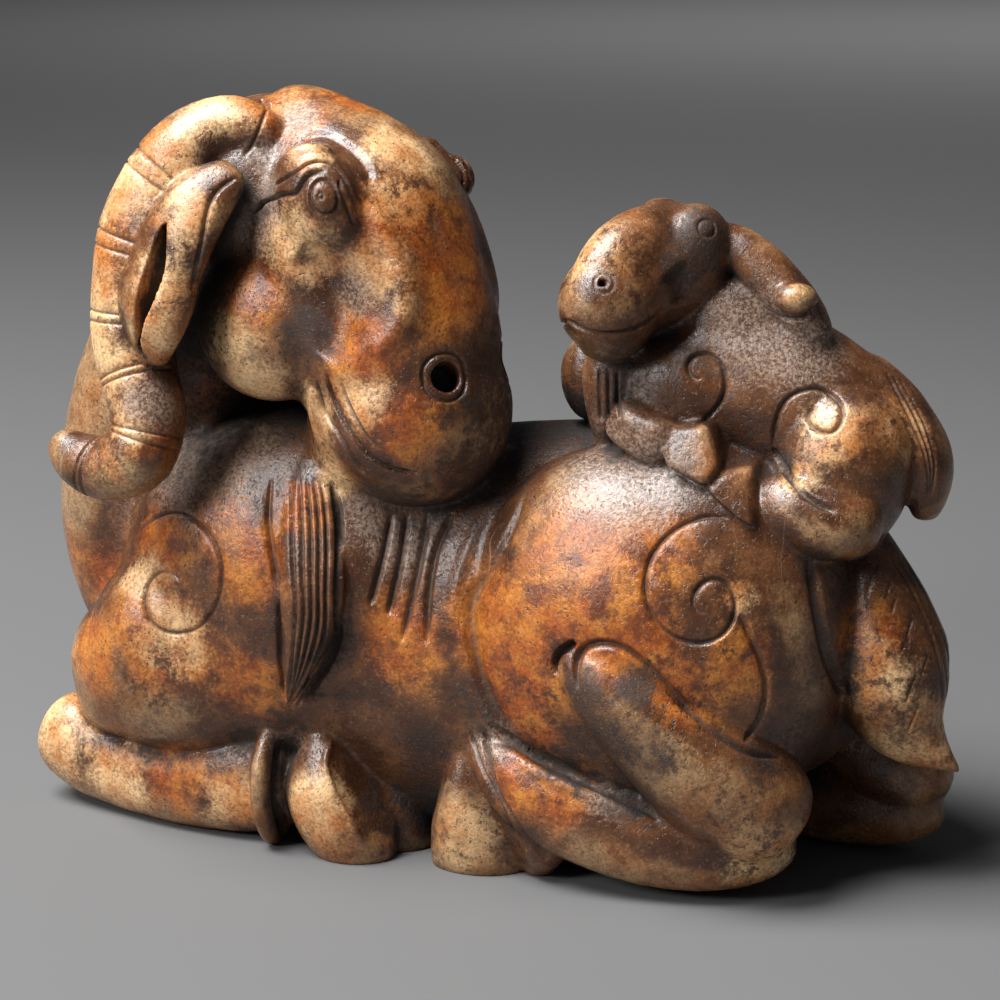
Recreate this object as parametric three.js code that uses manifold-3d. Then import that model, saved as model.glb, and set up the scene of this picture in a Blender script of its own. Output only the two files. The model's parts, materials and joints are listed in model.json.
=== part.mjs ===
// A recumbent ram carved from one piece of stone, its head turned back towards the kid on its rump.
// Millimetres, +Z up. The ram's chest is at -X and its tail at +X; its head leans over the -Y flank.
import * as THREE from "three";
import { mergeVertices } from "three/addons/utils/BufferGeometryUtils.js";
import Module from "manifold-3d";

const wasm = await Module();
wasm.setup();

const NEAR = -1; // the flank that the ram's head leans over, at -Y
const FAR = 1;
const SPINE_Y = -4; // the plane that the ram's two flanks are mirrored about
const LINE = 0.9; // half-width of an incised line
const HOOK = 1.5; // half-width of the hooked cut at the top of the hind leg
const LIP = 1.2; // half-width of the line of the ram's mouth
const KID_LIP = 0.8;
const NOSTRIL = 2.9; // radius of the ram's drilled nostril
const NOSTRIL_DEPTH = 8;
const EYE = 3.2; // radius of the ram's eyeball
const CENTRE = [-0.96, -7.96]; // the middle of the carving's footprint, which is brought to the origin
const RAM_HEAD = { origin: [-28.8, -18, 128.5], turn: [0, 62, -17] }; // +X runs down the muzzle
const KID_HEAD = { origin: [39.5, -12, 119.3], turn: [0, 19, -126] };
const FLANK_PRESS = [-0.3, 0.93, -0.22]; // the way that the flank's drawing is pressed on to the stone
const PLAIN = { around: 6, along: 5 }; // the facets of a leg on the far side

const radians = THREE.MathUtils.degToRad;
const vector = ([x, y, z]) => new THREE.Vector3(x, y, z);
const join = (solids) => solids.reduce((all, one) => all.add(one));
const bothSides = (make) => [NEAR, FAR].flatMap(make);

// Carries a point of the near flank to the flank asked for.
const onFlank = (side) => ([x, y, z]) => [x, side === NEAR ? y : 2 * SPINE_Y - y, z];

function turning(origin, turn) {
  const euler = new THREE.Euler(...turn.map(radians), "ZYX");
  const quaternion = new THREE.Quaternion().setFromEuler(euler);
  return new THREE.Matrix4().compose(vector(origin), quaternion, new THREE.Vector3(1, 1, 1));
}

// A closed three.js geometry as a solid for joining and cutting.
function solidOf(geometry) {
  const bare = geometry.clone();
  for (const name of ["normal", "uv"]) bare.deleteAttribute(name);
  const merged = mergeVertices(bare, 1e-4);
  const mesh = new wasm.Mesh({
    numProp: 3,
    vertProperties: merged.attributes.position.array,
    triVerts: new Uint32Array(merged.index.array),
  });
  return new wasm.Manifold(mesh);
}

// The geometry of a solid, back in three.js.
function geometryOf(solid) {
  const { vertProperties, triVerts } = solid.getMesh();
  const geometry = new THREE.BufferGeometry();
  geometry.setAttribute("position", new THREE.BufferAttribute(new Float32Array(vertProperties), 3));
  geometry.setIndex(new THREE.BufferAttribute(new Uint32Array(triVerts), 1));
  geometry.computeVertexNormals();
  return geometry;
}

// A sphere drawn out along a spine. girth gives the half-width and half-height of the section at each
// spine point, up the direction that counts as height, and blunt how full the two ends are.
function lump(spine, girth, { up = [0, 0, 1], blunt = 2, around = 8, along = 6 } = {}) {
  const line = new THREE.CatmullRomCurve3(spine.map(vector), false, "centripetal");
  const sizes = new THREE.SplineCurve(girth.map(([wide, high]) => new THREE.Vector2(wide, high)));
  const geometry = new THREE.SphereGeometry(1, around, along);
  const position = geometry.attributes.position;
  for (let i = 0; i < position.count; i++) {
    const axis = position.getY(i);
    const angle = Math.atan2(position.getZ(i), position.getX(i));
    const atPole = Math.abs(axis) > 1 - 1e-9;
    const fullness = atPole ? 0 : Math.pow(1 - Math.pow(Math.abs(axis), blunt), 1 / blunt);
    const t = (1 - axis) / 2;
    const size = sizes.getPoint(t);
    const forward = line.getTangent(t);
    const side = new THREE.Vector3().crossVectors(forward, vector(up)).normalize();
    const rise = new THREE.Vector3().crossVectors(side, forward);
    const point = line.getPoint(t);
    point.addScaledVector(side, -size.x * fullness * Math.cos(angle));
    point.addScaledVector(rise, size.y * fullness * Math.sin(angle));
    position.setXYZ(i, point.x, point.y, point.z);
  }
  return solidOf(geometry);
}

// A lump of round section, its radius given at each spine point.
const rod = (spine, radii, options) => lump(spine, radii.map((r) => [r, r]), options);

// An ellipsoid at a centre, turned by degrees about X, then Y, then Z.
function blob(centre, radii, turn = [0, 0, 0], { around = 8, along = 6 } = {}) {
  const geometry = new THREE.SphereGeometry(1, around, along);
  geometry.rotateX(Math.PI / 2);
  geometry.scale(...radii);
  geometry.applyMatrix4(turning(centre, turn));
  return solidOf(geometry);
}

// The points where rays through a line's points, all one way, first meet the solid.
function pressed(points, solid, direction) {
  const target = new THREE.Mesh(geometryOf(solid), new THREE.MeshBasicMaterial({ side: THREE.DoubleSide }));
  const ray = new THREE.Raycaster();
  const way = vector(direction).normalize();
  return points.flatMap((point) => {
    ray.set(point.clone().addScaledVector(way, -60), way);
    const [hit] = ray.intersectObject(target);
    return hit ? [hit.point.toArray()] : [];
  });
}

// A tool that cuts a line into the solid where a drawn one is pressed on to it, its two ends pointed.
function incision(drawn, solid, half, steps) {
  const line = new THREE.CatmullRomCurve3(drawn.map(vector), false, "centripetal");
  const points = pressed(line.getPoints(steps), solid, FLANK_PRESS);
  return rod(points, points.map(() => half), { up: FLANK_PRESS, around: 4, along: steps, blunt: 3 });
}

// A spiral in the side plane: radii are read off evenly from the first angle to the last, in degrees.
function spiral([x, y, z], radii, from, to, steps) {
  const reach = new THREE.SplineCurve(radii.map((r) => new THREE.Vector2(r, 0)));
  return Array.from({ length: steps + 1 }, (_, i) => {
    const angle = radians(from + ((to - from) * i) / steps);
    const r = reach.getPoint(i / steps).x;
    return [x + r * Math.cos(angle), y, z + r * Math.sin(angle)];
  });
}

// Carries solids made about a head's own origin to where the head is.
const placed = (solids, { origin, turn }) => {
  const matrix = turning(origin, turn).toArray();
  return solids.map((solid) => solid.transform(matrix));
};

// The barrel, and on each flank the chest, the haunch, the point of the shoulder and the elbow.
function ramBody() {
  return [
    lump(
      [[-80, -2, 42], [-50, -3, 43], [0, -4, 41], [45, -5, 43], [80, -5, 38]],
      [[22, 30], [30, 39], [31, 42.5], [32, 44], [22, 32]],
      { around: 12, along: 7, blunt: 2.4 },
    ),
    ...bothSides((side) => {
      const at = onFlank(side);
      const facets = side === FAR ? { around: 12, along: 7 } : { around: 15, along: 9 };
      return [
        blob(at([-36, -16.5, 50]), [38.5, 21.5, 36.5], [0, 0, 0], facets),
        blob(at([34, -17, 51]), [40.5, 25.5, 38.5], [0, 0, 0], facets),
        lump(
          [[-54, -20, 62], [-60, -21, 47], [-70, -20, 30], [-80, -15, 18]].map(at),
          [[9, 9], [16, 16], [14, 14.5], [9, 9]],
          { up: [0, 1, 0] },
        ),
        blob(at([-54, -20, 38]), [25, 17, 20], [0, 15, 0]),
      ];
    }),
  ];
}

// The neck rises from the breast and leans in under the horns.
function ramNeck() {
  return [
    lump(
      [[-76, 0, 20], [-79, 1, 55], [-71, 0, 85], [-56, -7, 110], [-42, -13, 126]],
      [[18, 20], [19, 24], [20, 24], [20, 20], [14, 14]],
      { up: [0, 1, 0], along: 7, around: 10 },
    ),
  ];
}

// A foreleg folded under: the shank lying from knee to fetlock, the coronet and the hoof's two toes.
function ramForeleg(side) {
  const at = onFlank(side);
  const facets = side === FAR ? PLAIN : {};
  const upright = { up: [1, 0, 0], blunt: 3, ...facets };
  return [
    lump(
      [[-95, -13, 15], [-85, -14, 11], [-60, -24, 9.5], [-34, -29, 10]].map(at),
      [[9, 9.5], [9.5, 10.5], [7.5, 8], [8, 9]],
      { blunt: 3, ...facets },
    ),
    blob(at([-35, -29.5, 11]), [4, 10, 11], [0, 0, 0], facets),
    lump([[-30, -29, 25], [-28, -31, 14], [-20, -33, -2]].map(at), [[4, 4], [9, 9], [9, 9]], upright),
    lump([[-21, -22, 20], [-18, -22, 10], [-13, -23, -2]].map(at), [[5, 5], [8, 7], [8, 8]], upright),
  ];
}

// A hind leg folded forward: the gaskin down to the hock, the shank along the ground, the fetlock and
// the hoof. at carries its points to the leg's own place.
function hindLeg(at, facets = {}) {
  return [
    rod(
      [[22, -36, 52], [38, -36, 39], [54, -32, 24], [69, -26, 12]].map(at),
      [8, 11, 12.5, 12],
      { blunt: 3, ...facets },
    ),
    lump(
      [[68, -26, 11], [50, -31, 12], [30, -34, 18], [4, -31, 27]].map(at),
      [[10, 10], [9, 9], [8, 9], [4, 4]],
      { blunt: 2.5, ...facets },
    ),
    blob(at([17, -35, 13]), [9, 7, 11], [0, 0, 0], facets),
    lump(
      [[0, -27, 31], [1, -28, 15], [4, -29, -2]].map(at),
      [[4, 3], [9, 9], [9, 12]],
      { up: [1, 0, 0], blunt: 4, ...facets },
    ),
  ];
}

// The far hind leg lies a little further back and closer in than the near one.
const farHindLeg = ([x, y, z]) => [x + 14, -y - 22, z];

// The fat tail hangs down behind the haunches.
function ramTail() {
  return [
    lump(
      [[75, -8, 72], [78, -10, 50], [84, -12, 36], [94, -13, 23]],
      [[10, 9], [14, 9], [12, 8], [3, 3]],
      { up: [1, 0, 0.3], along: 9 },
    ),
  ];
}

// The middle line of a horn in the head's frame: back over the poll, down beside the ear, and curled up.
function hornPath(side) {
  return [
    [-16, 11, 1], [-20, 15, -6], [-16, 20, -15], [-7, 24, -26], [3, 26, -33], [11, 27, -37],
    [18, 28, -38], [25, 29, -38.5], [31, 31, -43], [31, 33, -50], [27, 34, -55], [21, 35, -58],
  ].map(([x, y, z]) => [x, y * side, z]);
}

function ramHorn(side) {
  const radii = [8.5, 9.5, 9.5, 9.5, 8.5, 8, 7.5, 7.5, 7, 6, 4.5, 2.5];
  const facets = side === FAR ? { around: 6, along: 13 } : { around: 8, along: 14 };
  return rod(hornPath(side), radii, { up: [0, 1, 0], blunt: 3, ...facets });
}

// A lop ear, broadest near its blunt lower end.
function ramEar(side) {
  const path = [[-9, 22, 1], [-4, 28, -7], [3, 31, -16], [9, 33, -22], [17, 31, -30]];
  return lump(
    path.map(([x, y, z]) => [x, y * side, z]),
    [[3, 4], [4, 6.5], [4.5, 8.5], [4.5, 9.5], [3, 6.5]],
    { up: [0.9, 0, 0.5], blunt: 3 },
  );
}

// The skull, muzzle, chin and nape, and on each side the cheek, brow, eyeball, horn and ear.
function ramHead() {
  const made = [
    lump(
      [[-24, 0, 0], [0, 0, 1], [22, 0, 1], [44, 0, 0], [63, 0, -2]],
      [[14, 14], [22, 25.5], [20, 23.5], [18, 20], [9, 9]],
      { around: 16, along: 9, blunt: 2.4 },
    ),
    blob([43, 0, 0], [20, 19, 19], [0, 0, 0], { around: 14, along: 8 }),
    blob([45, 0, -14], [13.5, 13, 11]),
    blob([-6, 0, -10], [20, 23, 18], [0, 0, 0], { around: 10, along: 6 }),
    ...bothSides((side) => [
      blob([17, 11 * side, -15], [16, 13, 17], [0, 0, 0], { around: 10, along: 7 }),
      blob([4, 19 * side, 12.5], [9, 5.5, 6]),
      blob([5, 21.5 * side, 15.5], [EYE, EYE, EYE], [0, 0, 0], { around: 6, along: 4 }),
      ramHorn(side),
      ramEar(side),
    ]),
  ];
  return placed(made, RAM_HEAD);
}

// The beard hangs from the throat down the flank.
function ramBeard() {
  return [
    lump(
      [[-29, -25, 80], [-27, -33, 66], [-26, -38, 52], [-31, -39, 33]],
      [[6, 6], [6.5, 5], [6, 5], [1.5, 2]],
      { up: [0, 1, 0] },
    ),
  ];
}

// The kid's barrel, shoulder, thighs, tail, folded legs with their hooves, breast and beard.
function kidBody() {
  const upright = { up: [0, 1, 0] };
  return [
    lump(
      [[19, -7, 95], [42, -8, 97], [66, -8, 89], [84, -7, 75]],
      [[11, 11], [14, 17], [14, 17], [9, 13]],
      { around: 12, along: 7, blunt: 2.4 },
    ),
    blob([41, -17, 95], [13, 8, 11]),
    blob([72, -15, 81], [13.5, 12, 17], [0, 10, 0], { around: 11, along: 7 }),
    blob([71, 2, 80], [13, 11, 17], [0, 10, 0], PLAIN),
    lump(
      [[73, -5, 101], [81, -6, 92], [87, -7, 82], [87, -8, 71]],
      [[8, 4], [8, 5], [7, 5], [3, 3]],
      { up: [1, 0, 0] },
    ),
    rod([[32, -25, 89.5], [37, -26, 87.7], [42, -27, 87]], [4, 4.2, 4.5], { blunt: 3 }),
    rod([[44, -28, 88.5], [47, -29, 85.3], [48.7, -30, 81.5]], [4, 6, 6], { blunt: 3 }),
    rod([[60, -28, 78], [66, -27, 72.5], [75, -24, 69.5]], [6, 6.5, 7], { blunt: 3 }),
    rod([[57, -30, 82], [54.5, -31, 78], [51.5, -31.5, 74.5]], [4, 6, 5], { blunt: 3 }),
    lump([[22, -6, 104], [20.5, -6, 97], [22, -7, 86]], [[4, 4], [5.5, 6], [7, 7]], upright),
    lump([[29, -20, 107], [28.5, -20, 96], [27.5, -19, 83]], [[5, 4], [5, 5], [3.5, 4]], upright),
  ];
}

// The kid's head, with one laid-back horn and a knob beside its tip.
function kidHead() {
  const skull = lump(
    [[-11, 0, -1], [0, 0, 0], [14, 0, -1], [28, 0, -2]],
    [[8, 9], [11.5, 12], [10.5, 11], [9, 10.5]],
    { blunt: 2.6, around: 12, along: 8 },
  );
  return [
    ...placed([skull], KID_HEAD),
    rod([[48, -12, 125], [54, -12, 120.5], [61, -13, 114], [68, -14, 107]], [3, 4.5, 4.5, 4], { blunt: 3 }),
    blob([63.5, -17, 112.5], [3.6, 3.6, 3.6]),
  ];
}

// The drawing on the near flank: a spiral on the shoulder and one on the haunch, the ribs between them
// and the hooked cut at the top of the hind leg.
function flankLines(solid) {
  const shoulder = [14.7, 16, 12.7, 9.2, 8, 8.2, 8.7, 7.5, 6.2, 4, 1.9];
  const haunch = [17, 14.9, 12.5, 8.9, 5.8, 4.4, 4.5, 5, 4.2, 3.6, 2.1];
  return [
    incision(spiral([-55.4, -35, 52.1], shoulder, 130, -290, 20), solid, LINE, 15),
    incision(spiral([53.3, -38, 59.3], haunch, 79, 594, 24), solid, LINE, 18),
    incision([[-11, -35, 70], [-13, -35, 62], [-16, -35, 53]], solid, LINE, 3),
    incision([[-8, -35, 70], [-9.6, -35, 61], [-12, -35, 52]], solid, LINE, 3),
    incision([[-4, -35, 70.7], [-6.7, -35, 58.5], [-9.5, -35, 46.5]], solid, LINE, 3),
    incision([[0.8, -35, 71.6], [-3.4, -35, 65], [-6.6, -35, 52], [-5.4, -35, 44.5]], solid, LINE, 4),
    incision([[28, -42, 51], [25, -42, 49], [26, -42, 44]], solid, HOOK, 4),
  ];
}

// The nostril, the ear's opening and the upper lid on one side of the ram's head, about its own origin.
function ramFaceLines(side) {
  const sideways = ([x, y, z]) => [x, y * side, z];
  const nostril = new THREE.CylinderGeometry(NOSTRIL, NOSTRIL, NOSTRIL_DEPTH, 8);
  nostril.applyMatrix4(turning(sideways([43, 8.5, 15]), [60 * side, 0, 0]));
  const thin = { up: [0, 1, 0], around: 4, blunt: 3 };
  return [
    solidOf(nostril),
    rod([[-5, 31, -12], [1, 34.5, -16], [7, 36, -21], [15, 34, -30]].map(sideways), [1.5, 2.4, 2.4, 1.2], thin),
    rod([[-4, 19, 5], [-3, 23.5, 12], [1, 23, 18], [8, 20, 19]].map(sideways), [0.9, 1, 1, 0.9], thin),
  ];
}

// One line round the muzzle between the lips.
function ramMouth() {
  const half = [[34, 18, -3], [42, 19, -3], [50, 17, -2], [57, 12, 0], [62, 4, 1]];
  const lips = [...half, ...half.map(([x, y, z]) => [x, -y, z]).reverse()];
  return rod(lips, lips.map(() => LIP), { around: 4, along: 14, blunt: 3 });
}

// Rings cut half-way round the outer side of a horn at shares of its length.
function hornRings(side) {
  const line = new THREE.CatmullRomCurve3(hornPath(side).map(vector), false, "centripetal");
  return [0.14, 0.27, 0.4, 0.53, 0.66].map((t) => {
    const centre = line.getPoint(t);
    const forward = line.getTangent(t);
    const out = new THREE.Vector3(0, side, 0);
    const across = new THREE.Vector3().crossVectors(forward, out).normalize();
    const rim = 9.2 - 2 * t;
    const points = [-75, 0, 75].map((angle) => {
      const point = centre.clone().addScaledVector(out, rim * Math.cos(radians(angle)));
      return point.addScaledVector(across, rim * Math.sin(radians(angle))).toArray();
    });
    return rod(points, [1.2, 1.2, 1.2], { up: forward.toArray(), around: 4, along: 4, blunt: 3 });
  });
}

// The lines between the locks of hair down the beard and the tail.
function hairLines(solid) {
  const beard = [
    [[-29, -40, 68], [-29, -40, 54], [-29, -40, 38]],
    [[-25, -40, 68], [-24, -40, 54], [-26, -40, 40]],
  ];
  const tail = [
    [[80, -25, 62], [86, -25, 46], [91, -25, 30]],
    [[74, -25, 60], [79, -25, 44], [86, -25, 32]],
  ];
  return [...beard, ...tail].map((points) => incision(points, solid, LINE, 3));
}

// The scrolls on the kid's shoulder and haunch, and its mouth.
function kidLines(solid) {
  const shoulder = [[43, -22, 100], [44.4, -22, 103.5], [47.5, -22, 104.4], [50.6, -22, 98], [46.7, -22, 90.4]];
  const haunch = spiral([69.8, -22, 92.9], [11.5, 8, 5, 4.2, 3.4, 3, 1.5], 217, -180, 14);
  const mouth = [[28, 3, -4], [25, 8, -4], [19, 10, -4], [13, 11, -2]];
  const lips = rod(mouth, mouth.map(() => KID_LIP), { around: 4, blunt: 3 });
  return [
    incision(shoulder, solid, LINE, 7),
    incision(haunch, solid, LINE, 12),
    ...placed([lips], KID_HEAD),
  ];
}

const masses = join([
  ...ramBody(), ...ramNeck(), ...bothSides(ramForeleg), ...hindLeg((point) => point, { around: 9 }),
  ...hindLeg(farHindLeg, PLAIN), ...ramTail(), ...ramHead(), ...ramBeard(), ...kidBody(), ...kidHead(),
]);
const below = solidOf(new THREE.BoxGeometry(300, 200, 20).translate(0, 0, -10));
const tools = join([
  below,
  ...flankLines(masses),
  ...placed([...bothSides(ramFaceLines), ramMouth(), ...hornRings(NEAR)], RAM_HEAD),
  ...hairLines(masses),
  ...kidLines(masses),
]);
const carving = masses.subtract(tools).translate([-CENTRE[0], -CENTRE[1], 0]);
const stone = new THREE.MeshStandardMaterial({ color: 0x8a5a33, roughness: 0.35, metalness: 0 });
const group = new THREE.Group();
const figure = new THREE.Mesh(geometryOf(carving), stone);
figure.name = "ram_and_kid";
group.add(figure);
export default group;
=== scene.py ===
# %% [markdown]
# # A ram and its kid, carved from one stone
# The real object is one block of polished hardstone. A ram lies with its legs folded and turns its head
# back, and a kid lies on its rump. Nothing on it is a separate part, so this lesson ends with one mesh.
# A carver works from big masses to small ones, and so do we: masses are joined, melted into one skin and
# smoothed, smaller masses are laid on, and the drawing is cut in last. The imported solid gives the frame.

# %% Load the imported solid
import json
import math

import bpy
import numpy as np
from mathutils import Euler, Matrix, Vector
from mathutils.bvhtree import BVHTree
from mathutils.kdtree import KDTree

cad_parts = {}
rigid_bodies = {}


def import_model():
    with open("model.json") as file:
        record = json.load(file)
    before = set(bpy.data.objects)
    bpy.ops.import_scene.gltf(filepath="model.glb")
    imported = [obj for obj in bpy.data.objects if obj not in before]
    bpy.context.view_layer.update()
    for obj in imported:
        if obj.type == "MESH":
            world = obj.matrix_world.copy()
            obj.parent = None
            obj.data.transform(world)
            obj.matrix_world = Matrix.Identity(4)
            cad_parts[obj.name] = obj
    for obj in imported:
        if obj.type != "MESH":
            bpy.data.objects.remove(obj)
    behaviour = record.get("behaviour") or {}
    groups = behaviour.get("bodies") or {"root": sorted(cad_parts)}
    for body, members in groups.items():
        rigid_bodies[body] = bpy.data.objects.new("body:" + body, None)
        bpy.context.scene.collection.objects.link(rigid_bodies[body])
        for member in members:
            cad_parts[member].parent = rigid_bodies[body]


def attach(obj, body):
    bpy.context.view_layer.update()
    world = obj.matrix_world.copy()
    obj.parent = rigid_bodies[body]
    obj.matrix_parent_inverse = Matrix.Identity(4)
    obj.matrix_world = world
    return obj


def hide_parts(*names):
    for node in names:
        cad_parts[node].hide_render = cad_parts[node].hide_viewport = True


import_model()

for left_over in [o for o in bpy.data.objects if o.name in ("Cube", "Light", "Camera")]:
    bpy.data.objects.remove(left_over)
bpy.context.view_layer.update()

# %% [markdown]
# ## Working in millimetres
# The stone is shaped at one unit to the millimetre, about the ram's own middle plane, and is brought to
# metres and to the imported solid's place at the end. A few short helpers come first. `only` makes one
# object the active one, because an operator acts on everything that is selected.

# %% Sizes and small helpers
MILLIMETRE = 0.001
SPINE_Y = -4.0  # the plane that the ram's two flanks are mirrored about
TO_FRAME = Vector((0.96, 7.96, 0.0))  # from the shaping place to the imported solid's place
NEAR, FAR = -1, 1
BOTH = (NEAR, FAR)
COARSE = 1.0


def only(piece):
    bpy.ops.object.select_all(action="DESELECT")
    piece.select_set(True)
    bpy.context.view_layer.objects.active = piece
    return piece


def points_of(piece, value="co"):
    """The place of every point of a piece, or its "normal"."""
    found = np.empty(len(piece.data.vertices) * 3, np.float32)
    piece.data.vertices.foreach_get(value, found)
    return found.reshape(-1, 3).astype(float)


def set_points(piece, points):
    piece.data.vertices.foreach_set("co", points.astype(np.float32).ravel())
    piece.data.update()


def edit_all(piece):
    """Opens edit mode on one piece with all of it selected."""
    only(piece)
    bpy.ops.object.mode_set(mode="EDIT")
    bpy.ops.mesh.select_all(action="SELECT")


def placed(place, turn, size=None):
    """The matrix that turns by degrees about X, then Y, then Z and moves to a place."""
    return Matrix.LocRotScale(Vector(place), Euler([math.radians(angle) for angle in turn]), size)


def modified(piece, kind, **settings):
    """Adds a modifier with these settings and applies it."""
    only(piece)
    bpy.ops.object.modifier_add(type=kind)
    modifier = piece.modifiers[-1]
    for name, value in settings.items():
        setattr(modifier, name, value)
    bpy.ops.object.modifier_apply(modifier=modifier.name)
    return piece


def joined(pieces, name):
    bpy.ops.object.select_all(action="DESELECT")
    for piece in pieces:
        piece.select_set(True)
    bpy.context.view_layer.objects.active = pieces[0]
    bpy.ops.object.join()
    bpy.context.object.name = name
    return bpy.context.object


print("helpers ready")

# %% [markdown]
# ## A ball drawn out along a line
# Every mass of the animal starts as a uv sphere. `blob` leaves it an ellipsoid. `lump` draws it out along
# a smooth line through a few points, with a width and a height at each: that is a leg, a neck or a horn.
# An armature with a Skin modifier could make such limbs too, but its sections are always square or round.

# %% Curves, lumps and blobs
def curve_at(knots, shares, even=False):
    """Points at shares from 0 to 1 of a smooth curve through the knots."""
    knots = np.asarray(knots, float)
    place = np.clip(np.asarray(shares, float), 0, 1) * (len(knots) - 1)
    left = np.minimum(place.astype(int), len(knots) - 2)
    weight = (place - left)[:, None]
    first = knots[0] if even else 2 * knots[0] - knots[1]
    last = knots[-1] if even else 2 * knots[-1] - knots[-2]
    row = np.vstack([first, knots, last])
    p0, p1, p2, p3 = (row[left + i] for i in range(4))
    if even:
        d0 = d1 = d2 = np.ones_like(weight)
    else:
        d0, d1, d2 = (
            np.sqrt(np.maximum(np.linalg.norm(b - a, axis=1), 1e-6))[:, None]
            for a, b in ((p0, p1), (p1, p2), (p2, p3))
        )
    t1 = ((p1 - p0) / d0 - (p2 - p0) / (d0 + d1) + (p2 - p1) / d1) * d1
    t2 = ((p2 - p1) / d1 - (p3 - p1) / (d1 + d2) + (p3 - p2) / d2) * d1
    cube = 2 * p1 - 2 * p2 + t1 + t2
    square = 3 * p2 - 3 * p1 - 2 * t1 - t2
    return p1 + weight * (t1 + weight * (square + weight * cube))


STEP = 1e-3  # a small share of a curve, for reading off which way it runs


def unit(vectors):
    return vectors / np.maximum(np.linalg.norm(vectors, axis=-1, keepdims=True), 1e-9)


def lump(spine, girth, up=(0, 0, 1), blunt=2.0, corner=2.0, around=32, along=24):
    """A ball drawn out along a spine. girth is the half-width and half-height at each spine point.
    blunt tells how full its two ends are, and corner how square its section is."""
    bpy.ops.mesh.primitive_uv_sphere_add(segments=around, ring_count=along, radius=1)
    ball = bpy.context.object
    start = points_of(ball)
    axis = np.clip(start[:, 2], -1, 1)
    angle = np.arctan2(start[:, 1], start[:, 0])
    fullness = (1 - np.abs(axis) ** blunt) ** (1 / blunt)
    share = (1 - axis) / 2
    size = curve_at(girth, share, even=True)
    forward = unit(curve_at(spine, share + STEP) - curve_at(spine, share - STEP))
    side = unit(np.cross(forward, np.asarray(up, float)))
    rise = np.cross(side, forward)
    across, upward = (np.sign(v) * np.abs(v) ** (2 / corner) for v in (np.cos(angle), np.sin(angle)))
    wide = (size[:, 0] * fullness * across)[:, None]
    high = (size[:, 1] * fullness * upward)[:, None]
    set_points(ball, curve_at(spine, share) - side * wide + rise * high)
    return ball


def rod(spine, radii, **options):
    return lump(spine, [(r, r) for r in radii], **options)


def blob(centre, radii, turn=(0, 0, 0), around=32, along=20):
    """An ellipsoid turned by degrees about X, then Y, then Z."""
    bpy.ops.mesh.primitive_uv_sphere_add(segments=around, ring_count=along, radius=1)
    ball = bpy.context.object
    ball.data.transform(placed(centre, turn, Vector(radii)))
    return ball


def slab(corners, thick, edge):
    """A block with this outline on its outer face and softened edges, for a hoof with flat faces."""
    bpy.ops.mesh.primitive_circle_add(vertices=len(corners), radius=1, fill_type="NGON")
    block = bpy.context.object
    set_points(block, np.array(corners, float))
    edit_all(block)
    bpy.ops.mesh.extrude_region_move(TRANSFORM_OT_translate={"value": (0, thick, 0)})
    bpy.ops.mesh.select_all(action="SELECT")
    bpy.ops.mesh.bevel(offset=edge, segments=3, affect="EDGES", clamp_overlap=True)
    bpy.ops.mesh.normals_make_consistent(inside=False)
    bpy.ops.object.mode_set(mode="OBJECT")
    return block


def on_flank(side):
    """Carries a point of the near flank to the flank asked for."""
    return lambda p: (p[0], p[1] if side == NEAR else 2 * SPINE_Y - p[1], p[2])


def on_each_side(make):
    """The pieces that are made for the near side and those for the far side."""
    return [piece for side in BOTH for piece in make(side)]


print("a lump and a blob can be made")

# %% [markdown]
# ## Melting masses into one skin
# Overlapping balls are only a pile. The Voxel Remesh operator walks over the pile and gives it one even
# skin with nothing inside, and the Smooth modifier then fills the valleys between the masses, as
# a carver's abrasive does. How many times it runs decides how soft the joins become.

# %% Melting
def melted(pieces, name, voxel, passes):
    skin = joined(pieces, name)
    skin.data.remesh_voxel_size = voxel * COARSE
    bpy.ops.object.voxel_remesh()
    modified(skin, "SMOOTH", factor=0.5, iterations=max(1, round(passes / COARSE**2)))
    print(name, "has", len(skin.data.vertices), "points")
    return skin


# %% [markdown]
# ## The ram's trunk
# The barrel carries, on each flank, the big dome of the chest, the dome of the haunch, the point of the
# shoulder and the elbow. The neck rises from the breast and leans in under the horns. These masses run
# into each other softly on the real stone, so they are smoothed the longest.

# %% The ram's trunk
def trunk_side(side):
    at = on_flank(side)
    shoulder = [at((-54, -20, 62)), at((-60, -21, 47)), at((-72, -20, 29)), at((-86, -15, 19))]
    return [
        blob(at((-36, -16.5, 50)), (39, 22, 37)),  # the chest
        blob(at((44, -16, 50)), (33, 26, 38)),  # the hip
        lump(shoulder, [(9, 9), (16, 16), (14, 15), (10, 10)], up=(0, 1, 0)),
        blob(at((-58, -20, 34)), (28, 17, 20), (0, -5, 0)),  # the elbow
    ]


barrel = lump(
    [(-80, -2, 42), (-50, -3, 43), (0, -4, 41), (45, -5, 43), (80, -5, 38)],
    [(22, 30), (30, 39), (31, 42.5), (32, 44), (22, 32)],
    blunt=2.4,
)
neck = lump(
    [(-76, 0, 20), (-79, 1, 55), (-71, 0, 85), (-56, -7, 110), (-42, -13, 126)],
    [(18, 20), (19, 24), (20, 24), (20, 20), (14, 14)],
    up=(0, 1, 0),
)
trunk = melted([barrel, neck, *on_each_side(trunk_side)], "trunk", voxel=1.0, passes=30)

# %% [markdown]
# ## The folded legs
# A foreleg lies from knee to fetlock along the ground and ends in a hoof with two toes. A hind leg folds
# forward: the gaskin runs down to the hock and the shank comes back along the ground. The far hind leg
# lies a little further back. They are rods of uneven section, so each bone is a lump of its own. The toes
# are eggs cut off slanting with the Bisect operator, because a hoof has a sharp edge where a limb has none.

# %% The legs
def limb(at, spine, girth, **options):
    """A lump whose spine is written for the near leg and carried to the leg asked for."""
    return lump([at(point) for point in spine], girth, **options)


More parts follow.
